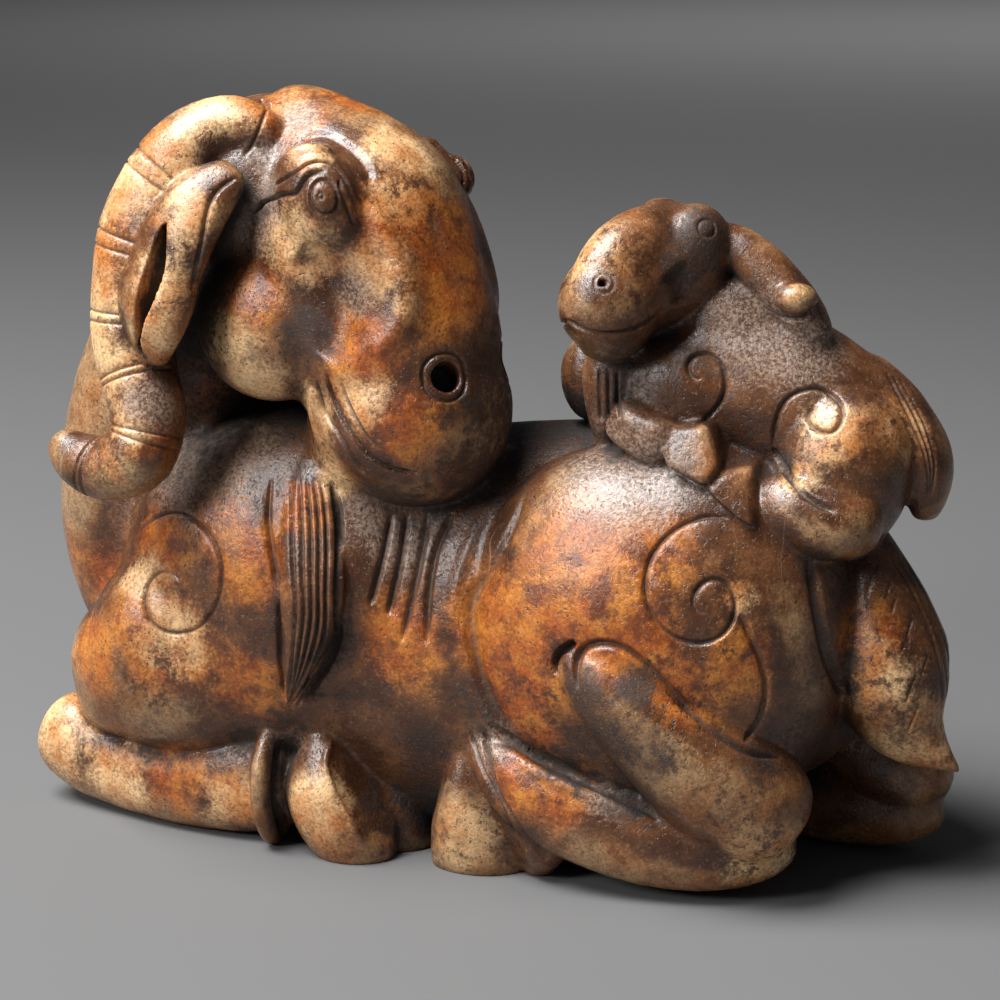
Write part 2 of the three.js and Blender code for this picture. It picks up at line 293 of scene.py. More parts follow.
def toe(at, spine, girth, cut, side):
    """A toe of a hoof: an egg cut off slanting through the point cut."""
    egg = limb(at, spine, girth, up=(1, 0, 0), blunt=2.6)
    edit_all(egg)
    slant = (0.8, 0.39 * side, 0.45)
    bpy.ops.mesh.bisect(plane_co=cut, plane_no=slant, clear_outer=True, use_fill=True)
    bpy.ops.object.mode_set(mode="OBJECT")
    return egg


def haunch(at):
    """The dome of the thigh, which stands out from the belly with an edge."""
    return blob(at((36, -20, 48)), (38, 23, 37), around=48, along=32)


def foreleg(side, at):
    shank = [(-95, -13, 17), (-84, -15, 11), (-60, -23, 8.8), (-31, -28, 13.5)]
    front_toe = [(-28, -29, 26), (-25, -29.5, 14), (-16.5, -31, -4)]
    back_toe = [(-20, -20, 22), (-17, -20, 10), (-11, -21, -3)]
    return [
        limb(at, shank, [(10, 11), (9, 9.8), (8, 8.8), (8, 14)], blunt=3, corner=2.4),
        blob(at((-38, -28.5, 12.8)), (3.5, 10.5, 13.2)),  # the fetlock
        toe(at, front_toe, [(5, 4), (9.5, 10), (8, 9.5)], at((-19.5, -36.5, 12)), side),
        limb(at, back_toe, [(4, 4), (8, 7), (8, 8)], up=(1, 0, 0), blunt=3),
    ]


def far_hind(point):
    """The far leg lies further back than the near one, and its hock sticks out behind."""
    x, y, z = point
    return x + 14 + 0.2 * (x - 22), -y - 23, z - 1.5


def hind_leg(side, at):
    hock = 13 if side == NEAR else 10.5  # the near hock swells more
    gaskin = [(24, -37, 50), (37, -37, 39), (52, -33, 26), (67, -27, 13)]
    shank = [(68, -26, 11), (50, -31, 9.5), (30, -34, 13.5), (14, -33, 20.5), (4, -31, 28)]
    hoof = [(3.5, -29, 31), (3, -28.5, 20), (4, -28.5, 9), (6, -28, -6)]
    pastern = [(5.5, -28, 31), (11.5, -29, 18), (19.5, -29, 0)]
    return [
        limb(at, gaskin, [(7.5, 7.5), (9.5, 9.5), (12.5, 12.5), (hock, hock)], blunt=3.5),
        limb(at, shank, [(10, 10), (9, 8.5), (7.5, 9), (7, 8), (4, 4)], blunt=2.5, corner=2.6),
        limb(at, pastern, [(5, 4), (7, 5), (6, 6)], up=(1, 0, 0), blunt=3),
        blob(at((19.5, -32, 10.5)), (5.8, 6, 9)),  # the second toe
        toe(at, hoof, [(3, 2.5), (6, 4.6), (8, 8.9), (8.5, 13.5)], at((10, -36.5, 12)), side),
    ]


ram_tail = lump(
    [(74.5, -9, 72), (80, -12, 51), (82.5, -13, 40), (87, -13.5, 31), (96.5, -14.5, 24)],
    [(10, 9), (11, 12.5), (10.5, 11.5), (7.5, 8.5), (2.5, 2.5)],
    up=(1, 0, 0.3),
    blunt=2.2,
)
LIMB = dict(voxel=0.7, passes=4)
legs = [
    melted(foreleg(NEAR, on_flank(NEAR)), "near_foreleg", **LIMB),
    melted(foreleg(FAR, on_flank(FAR)), "far_foreleg", **LIMB),
    melted(hind_leg(NEAR, on_flank(NEAR)), "near_hind_leg", **LIMB),
    melted(hind_leg(FAR, far_hind), "far_hind_leg", **LIMB),
    haunch(on_flank(NEAR)),
    haunch(on_flank(FAR)),
]

# %% [markdown]
# ## The ram's head
# The head is shaped about its own origin, level and facing +X, and is then carried to its place, because
# a nose or an eye is easier to think of in a head that looks straight ahead. The muzzle, the chin, the
# cheeks and the nape are balls set into the long skull.

# %% The ram's head
RAM_HEAD = ((-28.8, -18, 128.5), (0, 62, -17))  # the place and the turn of the ram's head
KID_HEAD = ((39.5, -12, 119.3), (0, 19, -126))


def carried(pieces, head):
    """Carries pieces that were made about a head's own origin to the head's place."""
    for piece in pieces:
        piece.data.transform(placed(*head))
    return pieces


def head_side(side):
    return [
        blob((17, 11 * side, -15), (16, 13, 17)),  # the cheek
        blob((3, 17.5 * side, 11), (11, 6, 8.5) if side == NEAR else (9, 5, 7)),  # the brow
    ]


skull = lump(
    [(-24, 0, 0), (0, 0, 1), (22, 0, 1), (44, 0, 0), (63, 0, -2)],
    [(14, 14), (22, 25.5), (20, 23.5), (18, 20), (9, 9)],
    blunt=2.4,
)
head_masses = [
    skull,
    blob((43, 0, 0), (20, 19, 19)),  # the muzzle
    blob((45, 0, -14), (13.5, 13, 11)),  # the chin
    blob((-6, 0, -10), (20, 23, 18)),  # the nape
    *on_each_side(head_side),
]
ram_head = melted(carried(head_masses, RAM_HEAD), "ram_head", voxel=0.8, passes=10)
ram_beard = lump(
    [(-30, -24, 82), (-28, -33, 66), (-26, -38, 52), (-31, -38.5, 32)],
    [(8, 6), (7, 5), (6.5, 4.5), (2, 2.5)],
    up=(0, 1, 0),
    blunt=2.4,
)
print("the head and its beard are made")

# %% [markdown]
# ## The kid
# The kid lies along the ram's rump with its head turned back over its shoulder. It is the same animal at
# half the size: a barrel, a shoulder, two thighs, a flat tail, folded legs and a beard. Its body and its
# head are melted by themselves. Its small parts wait until all is joined, and so keep a clear edge.

# %% The kid
kid_body = [
    lump(
        [(19, -7, 95), (42, -8, 97), (66, -8, 89), (84, -7, 75)],
        [(11, 11), (14, 17), (14, 17), (9, 13)],
        blunt=2.4,
    ),
    blob((48, -10, 106), (14, 9, 12)),  # the turned neck
    blob((41, -17, 95), (13, 8, 11)),  # the near shoulder
    blob((72, -15, 81), (13.5, 12, 17), (0, 10, 0)),  # the near thigh
    blob((71, 2, 80), (13, 11, 17), (0, 10, 0)),  # the far thigh
    lump(
        [(73, -5, 101), (81, -6, 92), (87, -7, 82), (87, -8, 71)],
        [(8, 4), (8, 5), (7.5, 5), (6, 4)],
        up=(1, 0, 0),
        blunt=3.5,
    ),
]
FORE_HOOF = [
    (41.6, -29.5, 90.1), (49.4, -29, 91.3), (52.6, -33, 84), (51, -34.5, 80.3), (42, -33, 83.7),
]
HIND_HOOF = [
    (50.3, -34, 80.1), (53.1, -31, 82.9), (58.4, -29, 84), (60.2, -34, 72.9), (56.9, -36, 75.2),
]
SHIN = [(31, -24, 91.5), (36, -26, 88.5), (43, -27, 86.5)]
HIND_SHANK = [(59, -25, 80), (64, -25.5, 76), (72, -24, 73.5), (80, -19, 74)]
BREAST = [(22, -6, 104), (20.5, -6, 97), (22, -7, 86)]
KID_BEARD = [(29, -19, 107), (28.5, -19.5, 96), (27.5, -19, 83)]
KID_EAR = [(47, -12, 125), (54, -12.5, 120), (61, -13.5, 113.5), (68.5, -14.5, 105)]
kid_small = [
    lump(SHIN, [(4, 4.5), (4.5, 4.5), (4.5, 5)], blunt=4, corner=3),
    slab(FORE_HOOF, thick=12, edge=1.6),
    slab(HIND_HOOF, thick=12, edge=1.4),
    lump(HIND_SHANK, [(4, 5), (6.5, 6.5), (8, 7.5), (8, 8)], blunt=3),
    lump(BREAST, [(4, 4), (5.5, 6), (7, 7)], up=(0, 1, 0)),
    lump(KID_BEARD, [(6, 4), (5.5, 5), (4, 4)], up=(0, 1, 0)),
    rod(KID_EAR, [4, 4.6, 4.8, 4.3], blunt=3),
    blob((63.5, -18.4, 113.9), (4.2, 3.4, 2.9)),  # the bud at the end of the ear
]
kid_head = carried(
    [
        lump(
            [(-11, 0, -1), (0, 0, 0), (14, 0, -1), (28, 0, -2)],
            [(8, 9), (10.5, 11), (8.5, 9.3), (7.5, 8.5)],
            blunt=2.6,
        ),
        lump([(-3, 0, 3), (9, 0, 4.6), (24, 0, 1)], [(7, 8), (7.5, 8.8), (7, 8.5)], blunt=2.6),
        blob((17.5, 0, -1), (10.6, 9.4, 10)),  # the muzzle
        blob((18.5, 0, -6), (8, 7, 6.2)),  # the chin
        blob((-1, 5, 3), (7, 6.5, 8)),  # the brows
        blob((-1, -5, 3), (7, 6.5, 8)),
    ],
    KID_HEAD,
)
kid = melted(kid_body, "kid_body", voxel=0.7, passes=8)
kid_head = melted(kid_head, "kid_head", voxel=0.6, passes=6)

# %% [markdown]
# ## Horns, ears and eyes
# The horns sweep back over the poll, down beside the ears and curl up. They, the ears and the eyeballs are
# laid on in the melt that joins all the masses. It is hardly smoothed, so that they keep a clear edge
# against the skull. Then the Bisect operator cuts the stone flat at the height that it rests on.

# %% Horns, ears and eyes
def horn_path(side):
    root = (-13.5, 12, 5) if side == NEAR else (-12, 11, 0)  # the far horn starts deeper in the poll
    path = [
        root, (root[0] - 5, 15, -6), (-16, 20, -15), (-7, 24, -26), (3, 26, -33), (11, 27, -37),
        (18, 28, -38), (25, 29, -38.5), (31, 31, -43), (31, 33, -50), (27, 34, -55), (21, 35, -58),
    ]
    return [(x, y * side, z) for x, y, z in path]


HORN_RADII = [8, 9.5, 9.5, 9.5, 8.5, 8, 7.5, 7.5, 7.4, 7.2, 7.2, 6.8]


def fine_head_side(side):
    ear = [(-9, 22, 0), (-5, 28, -9), (2, 31, -18), (9, 33, -24), (17, 31, -31)]
    ear = [(x, y * side, z) for x, y, z in ear]
    return [
        rod(horn_path(side), HORN_RADII, up=(0, 1, 0), blunt=3, around=28, along=60),
        lump(ear, [(3.5, 6), (4.2, 7.5), (4.5, 8), (4.5, 8.5), (3, 6)], up=(0.9, 0, 0.5), blunt=3.4),
        blob((4, 20.3 * side, 14.6), (4.6, 4, 4.2)),  # the eyeball
    ]


fine = carried(on_each_side(fine_head_side), RAM_HEAD)
masses = [trunk, *legs, ram_tail, ram_head, ram_beard, kid, kid_head, *kid_small, *fine]
figure = melted(masses, "ram_and_kid_stone", voxel=0.6, passes=1)
edit_all(figure)
bpy.ops.mesh.bisect(plane_co=(0, 0, 0), plane_no=(0, 0, 1), clear_inner=True, use_fill=True)
bpy.ops.object.mode_set(mode="OBJECT")

# %% [markdown]
# ## Drilled and sawn openings
# The nostrils were drilled and the slits of the ears were sawn, so they are cut with the Boolean modifier.
# Pushing points inwards would stretch the walls of a hole as deep as these. One more melt then evens out
# the skin round the cuts and takes the sharpness off their rims.

# %% Drill and saw
def drilled(place, turn, radius, depth):
    bpy.ops.mesh.primitive_cylinder_add(vertices=24, radius=radius, depth=depth)
    drill = bpy.context.object
    drill.data.transform(placed(place, turn))
    return drill


def head_cuts(side):
    slit = [(-5, 31 * side, -12), (1, 34 * side, -16), (7, 35.5 * side, -21), (15, 33.5 * side, -30)]
    return [
        drilled((42.5, 8.8 * side, 15.5), (-32 * side, 0, 0), radius=2.9, depth=9),
        lump(slit, [(1.1, 2.5), (2, 4), (2, 4), (1.1, 2)], up=(0, 1, 0), blunt=3),
    ]


def kid_nostril(side):
    return [drilled((22, 6 * side, 6), (-45 * side, 0, 0), radius=0.9, depth=5)]


cuts = carried(on_each_side(head_cuts), RAM_HEAD) + carried(on_each_side(kid_nostril), KID_HEAD)
for cut in cuts:
    modified(figure, "BOOLEAN", object=cut, operation="DIFFERENCE", solver="FAST")
    bpy.data.objects.remove(cut)
figure = melted([figure], "ram_and_kid_stone", voxel=0.55, passes=3)

# %% [markdown]
# ## The fine skin is kept as a guide
# Hollows that were closed in between the masses are dropped, and a Displace modifier with a broad cloud
# texture takes away the evenness that a machine would leave. This skin has far more points than a library
# part may have and will be thinned. A copy stays as a guide: lines are drawn on it, and the thinned skin is
# laid back on it.

# %% Keep the fine skin as a guide
def largest_part(piece):
    """Drops closed hollows left inside the stone: only the outer skin stays."""
    only(piece)
    bpy.ops.mesh.separate(type="LOOSE")
    parts = sorted(bpy.context.selected_objects, key=lambda part: len(part.data.vertices))
    for part in parts[:-1]:
        bpy.data.objects.remove(part)
    return only(parts[-1])


def twin(piece, name):
    """A copy with a mesh of its own."""
    made = piece.copy()
    made.data = piece.data.copy()
    made.name = name
    bpy.context.scene.collection.objects.link(made)
    return made


def faces_of(piece):
    """The faces in a tree, in which rays and nearest places are found fast."""
    mesh = piece.data
    corners = [polygon.vertices[:] for polygon in mesh.polygons]
    return BVHTree.FromPolygons([vertex.co[:] for vertex in mesh.vertices], corners)


figure = largest_part(figure)
clouds = bpy.data.textures.new("hand_waver", "CLOUDS")
clouds.noise_scale = 14
modified(figure, "DISPLACE", texture=clouds, strength=0.7, mid_level=0.5, texture_coords="LOCAL")
figure.name = "ram_and_kid_stone"
guide = twin(figure, "guide")
guide_faces = faces_of(guide)
print("the guide has", len(guide.data.vertices), "points")

# %% [markdown]
# ## Drawing on the stone
# A line is a few points joined smoothly and laid on the skin. Lines of the flanks and of the ram's face are
# drawn in a side plane, as they look from the side, and pressed on along one direction. Rings and the lines
# of the kid's head are drawn about the head's own origin and snap to the nearest skin. Each line keeps its
# half-width, its depth and how much dark dirt it holds. A ridge is a line with a depth below zero.

# %% Ways to draw a line
SIDE_PRESS = Vector((-0.3, 0.93, -0.22)).normalized()
SMOOTH = 12  # points of the finished line for each point drawn
OUTSIDE = 60  # how far off the flank a point starts when it is pressed on
JUMP = 4  # a point that lands further than this from the one before is left out
SNAP = 3.5  # how far off the skin may be from a line that snaps to it
lines = []


def add_line(path, half, depth, dirt=0.8, taper=0.1):
    """Keeps a line. taper is the share of its length over which each end runs out, or 0 for a ring."""
    if len(path) > 1:
        lines.append(dict(path=np.array(path), half=half, depth=depth, dirt=dirt, taper=taper))


def smoothed(drawn):
    return curve_at(drawn, np.linspace(0, 1, SMOOTH * len(drawn)))


def pressed(drawn, half, depth, sides=BOTH, plane=-38.0, **options):
    """A line drawn in the side plane as (x, z) points, pressed on to one flank or both."""
    for side in sides:
        way = Vector((SIDE_PRESS.x, -side * SIDE_PRESS.y, SIDE_PRESS.z))
        path = []
        for x, z in smoothed(drawn):
            start = Vector(on_flank(side)((x, plane, z))) - OUTSIDE * way
            hit = guide_faces.ray_cast(start, way)[0]
            if hit is not None and (not path or (hit - path[-1]).length < JUMP):
                path.append(hit)
        add_line(path, half, depth, **options)


def snapped(drawn, half, depth, head, sides=BOTH, reach=SNAP, **options):
    """A line drawn about a head's origin, snapped to the nearest skin on one side or both."""
    place = placed(*head)
    for side in sides:
        path = []
        for x, y, z in smoothed(drawn):
            hit, _, _, gap = guide_faces.find_nearest(place @ Vector((x, -side * y, z)))
            if gap < reach:
                path.append(hit)
        add_line(path, half, depth, **options)


def on_face(drawn, half, depth, **options):
    """A line pressed on to the near side of the ram's face and mirrored to its far side."""
    pressed(drawn, half, depth, sides=(NEAR,), **options)
    place = placed(*RAM_HEAD)
    over = place @ Matrix.Scale(-1, 4, (0, 1, 0)) @ place.inverted()
    hits = [guide_faces.find_nearest(over @ Vector(point)) for point in lines[-1]["path"]]
    add_line([hit[0] for hit in hits if hit[3] < SNAP], half, depth, **options)


def strands(left, right, shares, half, depth, **options):
    """Lines that run side by side between a left and a right edge."""
    along = np.linspace(0, 1, 8)
    first, second = curve_at(left, along), curve_at(right, along)
    for share in shares:
        pressed(first + share * (second - first), half, depth, **options)


def spiral(centre, radii, first, last, count=40):
    """A spiral in the side plane: radii are read off evenly between the first and last angle."""
    share = np.linspace(0, 1, count)
    reach = curve_at([(r, 0) for r in radii], share, even=True)[:, 0]
    angle = np.radians(first + (last - first) * share)
    return np.stack([centre[0] + reach * np.cos(angle), centre[1] + reach * np.sin(angle)], axis=1)


def oval(centre, wide, high, count=30):
    """An upright oval in the side plane."""
    angle = np.linspace(0, 2 * math.pi, count)
    return np.stack([centre[0] + wide * np.cos(angle), centre[1] + high * np.sin(angle)], axis=1)


def ring(centre, normal, radius, count=36):
    """A circle about a centre, square to a normal."""
    normal = unit(np.asarray(normal, float))
    first = unit(np.cross(normal, (0.3, 0.1, 1.0)))
    second = np.cross(normal, first)
    angle = np.linspace(0, 2 * math.pi, count)[:, None]
    return np.asarray(centre) + radius * (np.cos(angle) * first + np.sin(angle) * second)


# Which flank a line is for, and how far out the side plane lies that it is drawn in
NEAR_FLANK = dict(sides=(NEAR,))
SHOULDER = dict(plane=-35)
BEARD = dict(sides=(NEAR,), plane=-40)
TAIL = dict(sides=(NEAR,), plane=-25)
KID = dict(sides=(NEAR,), plane=-22)
print("lines can be drawn")

# %% Lines of the ram's flanks
SHOULDER_RADII = [14.7, 16, 12.7, 9.2, 8, 8.2, 8.7, 7.5, 6.2, 4, 1.9]
HAUNCH_RADII = [17, 14.9, 12.5, 8.9, 5.8, 4.4, 4.5, 5, 4.2, 3.6, 2.1]
pressed(spiral((-55.4, 52.1), SHOULDER_RADII, 130, -290), 0.75, 0.8, **SHOULDER)
pressed(spiral((53.3, 59.3), HAUNCH_RADII, 79, 594), 0.8, 0.85)
for rib in (
    [(-10.6, 71), (-12.4, 62), (-15, 52.5)],
    [(-7.4, 71.2), (-9, 61), (-11.3, 51)],
    [(-3.3, 71.5), (-5.6, 59), (-8.6, 46)],
    [(1.6, 72.2), (-1.6, 64.5), (-3.2, 55), (-3.4, 46)],
):
    pressed(rib, 1.15, 1.0, **SHOULDER)
HAUNCH_EDGE = [
    (17.6, 78), (15, 71.5), (11, 63.5), (6.7, 56.2), (7.1, 46.4), (10.3, 36.7), (16.4, 28.2), (24.3, 23.6),
]
pressed(HAUNCH_EDGE, 2.2, 1.2, dirt=0.45, taper=0.35)
pressed([(11, 77), (7.3, 69.9), (3.3, 57.9), (2.6, 48)], 2.4, -0.5, dirt=0, taper=0.5)
pressed([(58.6, 58.1), (63.7, 46.5), (63.1, 38.6), (59.8, 33.4)], 1.1, 0.8, dirt=0.5)
STIFLE_CUT = [(27.1, 50.3), (23.8, 47.7), (23, 45.3), (23.6, 43.2)]
pressed(STIFLE_CUT, 1.1, 2.2, dirt=1)
GASKIN_EDGE = [
    (27.6, 41.3), (27.2, 44), (27.5, 47), (29, 49.3), (33.3, 50.5), (37.5, 49.2), (41.5, 46.3), (51.2, 37.5),
    (60.1, 32.1), (67.6, 30.9),
]
pressed(GASKIN_EDGE, 1.2, 1.3, dirt=0.7)
SHANK_EDGE = [(9.9, 32), (17, 28), (23.1, 25.5), (29.2, 22.7), (35.9, 20.5), (41.4, 18.8), (43.9, 16.8)]
SHANK_RIDGE = [(12.3, 27.9), (20.3, 23.7), (28.2, 20.8), (36.1, 18.1), (42.9, 15.3)]
pressed(SHANK_EDGE, 1.6, 1.3, **NEAR_FLANK)
pressed(SHANK_RIDGE, 2.2, -0.7, dirt=0, taper=0.4, **NEAR_FLANK)
pressed([(9.3, 30.7), (10.3, 23.3), (12.4, 17.7), (16.4, 12.1), (22, 5.7)], 1.1, 1.0, **NEAR_FLANK)
pressed([(6.2, 30.6), (8.3, 24.1), (11.9, 17.4), (16.4, 9)], 0.7, 0.6, **NEAR_FLANK)
FORE_FETLOCK = [(-33.4, 24), (-34.1, 19.2), (-34.3, 12.3), (-33, 4)]
pressed(FORE_FETLOCK, 1.7, 2.4, dirt=1)
pressed([(-22.6, 25.2), (-23.6, 20.3), (-20.2, 12.1), (-15.8, 5.3)], 1.2, -0.6, dirt=0)
print(len(lines), "lines on the flanks")

# %% Lines of the beard and the tail
BEARD_LEFT = [(-33.7, 77.3), (-34.2, 69.8), (-33.5, 63.6), (-32, 54.8), (-31.7, 38.9), (-30.6, 32)]
BEARD_RIGHT = [(-22.5, 78.1), (-21, 71.3), (-20.8, 57.7), (-21.9, 45.2), (-26.7, 36.6), (-30.1, 32.2)]
strands(BEARD_LEFT, BEARD_RIGHT, (0.36, 0.52, 0.66, 0.79, 0.91), 0.65, 0.9, dirt=0.9, **BEARD)
pressed(BEARD_LEFT, 1.1, 1.2, dirt=0.7, taper=0.3, **BEARD)
pressed([(x + 1.2, z) for x, z in BEARD_RIGHT], 1.3, 1.4, dirt=0.9, **BEARD)
TAIL_RIDGE = [(83.2, 68), (88.2, 59.8), (91.9, 51), (93.6, 42.7), (94, 34)]
TAIL_LEFT, TAIL_RIGHT = ([(x + aside, z) for x, z in TAIL_RIDGE] for aside in (2, 5))
strands(TAIL_LEFT, TAIL_RIGHT, (0, 0.45, 0.9), 0.5, 0.6, **TAIL)
for share in np.linspace(0.05, 0.85, 9):
    stroke = 4.5 + 2.5 * math.sin(40 * share)  # no two strokes of the hair are the same length
    top = curve_at(TAIL_RIDGE, [share])[0] - (1.5 + 2 * math.cos(30 * share), 0)
    lean = np.array([0.35, 1.0]) * stroke
    pressed([top, top - 0.5 * lean, top - lean], 0.4, 0.35, dirt=0.5, **TAIL)
TAIL_ROOT = [(68.4, 66), (70.2, 55.3), (72.6, 47), (76.5, 40)]
pressed(TAIL_ROOT, 2.0, 1.4, plane=TAIL["plane"], dirt=0.7)
print(len(lines), "lines with the beard and the tail")

# %% Lines of the kid
for strand in (26.8, 28.6, 30.4):
    pressed([(strand, 99), (strand, 95), (strand + 0.2, 89)], 0.6, 0.7, **KID)
KID_SCROLL_RADII = [10.5, 7.2, 4.9, 4.1, 3.7, 3.3, 2.9, 2.5, 2, 1.3]
pressed(spiral((46.6, 99.8), KID_SCROLL_RADII, -105, 270), 0.75, 1.0, **KID)
KID_THIGH = [
    (60.6, 86.1), (61, 91.2), (62.8, 95.3), (66, 97.4), (69.9, 97.8), (72.9, 95.5), (73.2, 92.6),
    (71, 89.8), (68, 90.2), (66.8, 92.5), (68.5, 94.7),
]
pressed(KID_THIGH, 0.75, 0.9, **KID)
pressed([(60.6, 86.1), (65.3, 78.2), (71.5, 74.6)], 1.1, 1.2, **KID)
KID_TAIL_LEFT = [(83.2, 102), (87.5, 93), (90.6, 85), (91, 78)]
KID_TAIL_RIGHT = [(86.5, 101), (90.6, 93.6), (92.6, 86), (92, 79)]
strands(KID_TAIL_LEFT, KID_TAIL_RIGHT, (0, 0.4, 0.8), 0.5, 0.5, **KID)
KID_EAR_END = [(59.6, 113.2), (61.4, 111.4), (64, 110.8), (66.6, 111.5), (68, 113.4)]
pressed(KID_EAR_END, 0.7, 0.8, dirt=1, taper=0.3, **KID)
KID_MOUTH = [(28, 0, 0), (26.6, 4.1, -2.2), (22.1, 7.5, -3.8), (17.2, 9.2, -4.3), (12.5, 10, -4.5)]
snapped(KID_MOUTH, 0.6, 0.8, KID_HEAD)
KID_EYE = ring((-0.5, 9.8, 7), normal=(0, 0.8, 0.6), radius=1.6)
snapped(KID_EYE, 0.45, 0.35, KID_HEAD, taper=0, dirt=0.5)
KID_NOSTRIL = ring((22.5, 6.5, 6), normal=(0.2, 0.7, 0.7), radius=2.1)
snapped(KID_NOSTRIL, 0.5, 0.2, KID_HEAD, taper=0, dirt=0.5)
KID_CHEEK = [(9, 9.5, 3), (8, 10, -2), (8.5, 9.7, -5)]
snapped(KID_CHEEK, 4.2, 1.2, KID_HEAD, dirt=0.2, reach=5)
print(len(lines), "lines with the kid")

# %% Lines of the ram's head
LOWER_LID = [
    (-37, 127.6), (-35.4, 129.3), (-33.7, 130.8), (-30.1, 131.2), (-27.4, 131.6), (-26.3, 133),
    (-25.2, 134.6), (-23.5, 135.7), (-21.4, 135.9),
]
UPPER_LID = [
    (-31.8, 133.3), (-28.5, 135), (-26.6, 136.2), (-24.9, 137.3), (-22.8, 137.9), (-20.8, 137.7),
    (-18.4, 135.9), (-17.1, 133.7), (-16, 130.9), (-15.1, 128.2),
]
INNER_LID = [(-18.9, 134.4), (-18.1, 131.7), (-17.1, 128.9), (-16, 126.1)]
LOWER_BROW = [
    (-33, 135.1), (-30.3, 137.5), (-27, 139.9), (-22.7, 140.7), (-19.3, 139.8), (-16.2, 137),
    (-14.5, 133.2), (-14, 129.9),
]
UPPER_BROW = [(-27.2, 143.2), (-22.8, 144), (-19.2, 142.6), (-14.8, 139.2), (-12.6, 134.8)]
on_face(LOWER_LID, 0.75, 1.0, dirt=1)
on_face(UPPER_LID, 0.55, 0.8, dirt=0.9)
on_face(INNER_LID, 0.6, 0.8)
on_face(LOWER_BROW, 2.2, -0.75, dirt=0)
on_face(UPPER_BROW, 1.8, 0.5, dirt=0.1)
on_face(oval((-21.6, 131), wide=2.8, high=3.4), 0.6, 0.9, taper=0, dirt=1)
on_face(oval((-22.2, 131), wide=0.5, high=0.6), 0.35, 0.35, taper=0)
NOSTRIL = ring((42.5, -10, 17), normal=(0, -0.5, 0.87), radius=4.6)
snapped(NOSTRIL, 0.6, 0.7, RAM_HEAD, taper=0, dirt=0.6)
CHIN = [(-25, 95.2), (-24.6, 90.5), (-23.6, 85.8), (-21.4, 81.2)]
UPPER_LIP = [(-19.1, 97.3), (-17.6, 92.9), (-15.4, 88.8), (-13, 85.6), (-9.8, 83.7)]
MOUTH = [(-22.1, 98.1), (-20.8, 93.7), (-18.8, 89.5), (-15.9, 85.4), (-13.5, 83), (-9.7, 80.9), (-3.8, 80.1)]
LOWER_LIP = [(-24.2, 97), (-22.5, 90.7), (-20, 86.8), (-17.4, 83.2), (-14.7, 79.3)]
CHEEK_VALLEY = [(-27, 121.3), (-22.5, 116.8), (-20, 112.2), (-20, 106.5), (-22.8, 101)]
NOSE_RIDGE = [(-14, 132), (-10, 125.5), (-7, 119), (-5.8, 113), (-7.9, 107), (-12.7, 102)]
on_face(CHIN, 4, -1.4, dirt=0, taper=0.4)
on_face(UPPER_LIP, 0.7, 0.5, dirt=0.9, taper=0.3)
on_face(MOUTH, 0.8, 1.3, dirt=1)
on_face(LOWER_LIP, 0.8, 1.2, dirt=1)
on_face(CHEEK_VALLEY, 8.5, 3.2, dirt=0.1, taper=0.4)
on_face(NOSE_RIDGE, 5, -1.9, dirt=0, taper=0.45)
JAW_LINE = [(-39.5, 134.3), (-42.6, 132), (-44.6, 128.4), (-46, 121.5), (-48.5, 112)]
on_face(JAW_LINE, 0.8, 0.7, dirt=0.6)
HORN_ROOT = [(-33.8, 151), (-34.6, 147.2), (-36.3, 142.8), (-38.7, 139.2)]
HORN_ROOT_EDGE = [(-36, 152), (-36.4, 147.3), (-38.2, 143.5), (-40.4, 140)]
on_face(HORN_ROOT, 0.6, 0.7, dirt=0.7)
on_face(HORN_ROOT_EDGE, 0.6, 0.7, dirt=0.7)
print(len(lines), "lines with the ram's head")

# %% Rings of the horns
HORN_RINGS = [0.11, 0.2, 0.29, 0.4, 0.535, 0.68, 0.86]  # shares of the horn's length
APART = 0.009  # each ring is two lines, this share before and after its place


def horn_ring(side, share):
    """A line round a horn, left open where the horn lies against the head."""
    path = horn_path(side)
    centre, before, after = curve_at(path, [share, share - STEP, share + STEP])
    forward = unit(after - before)
    out = unit(np.array([0, side, 0]) - forward * forward[1] * side)
    across = np.cross(forward, out)
    radius = curve_at([(r, 0) for r in HORN_RADII], [share], even=True)[0, 0]
    angle = np.radians(np.linspace(-105, 105, 9))[:, None]
    arc = centre + radius * (np.cos(angle) * out + np.sin(angle) * across)
    if side == FAR:
        arc = arc * (1, -1, 1)
    snapped(arc, 0.5, 0.55, RAM_HEAD, sides=(side,), reach=1.5, dirt=0.6)


for side in BOTH:
    for share in HORN_RINGS:
        horn_ring(side, share - APART)
        horn_ring(side, share + APART)
print(len(lines), "lines with the horns")

# %% [markdown]
# ## Cutting the lines
# Decimate thins the skin, but a vertex group keeps it away from the strips under the lines, which are then
# divided once with the Subdivide operator. Shrinkwrap lays every point back on the guide, so that the
# divided strips follow its roundness. Then every point near a line is pushed in along its normal, deepest
# on the line itself, with ends that taper like a chisel's cut, and a last Decimate trims the whole skin.

# %% Thin the skin and divide the strips
FACES = 192000  # triangles in the finished skin
EVEN_SHARE = 0.5  # the share of them that the undrawn skin gets
WIDEST_STRIP = 1.8  # a shallow valley is wider than this and needs no finer skin
SPARED, DIVIDED = 0.9, 0.35  # how far past a line its strip is spared, and divided
SPACING = 0.25  # a line is measured at places this far apart
BATCH = 64  # the places measured at a time, to save memory


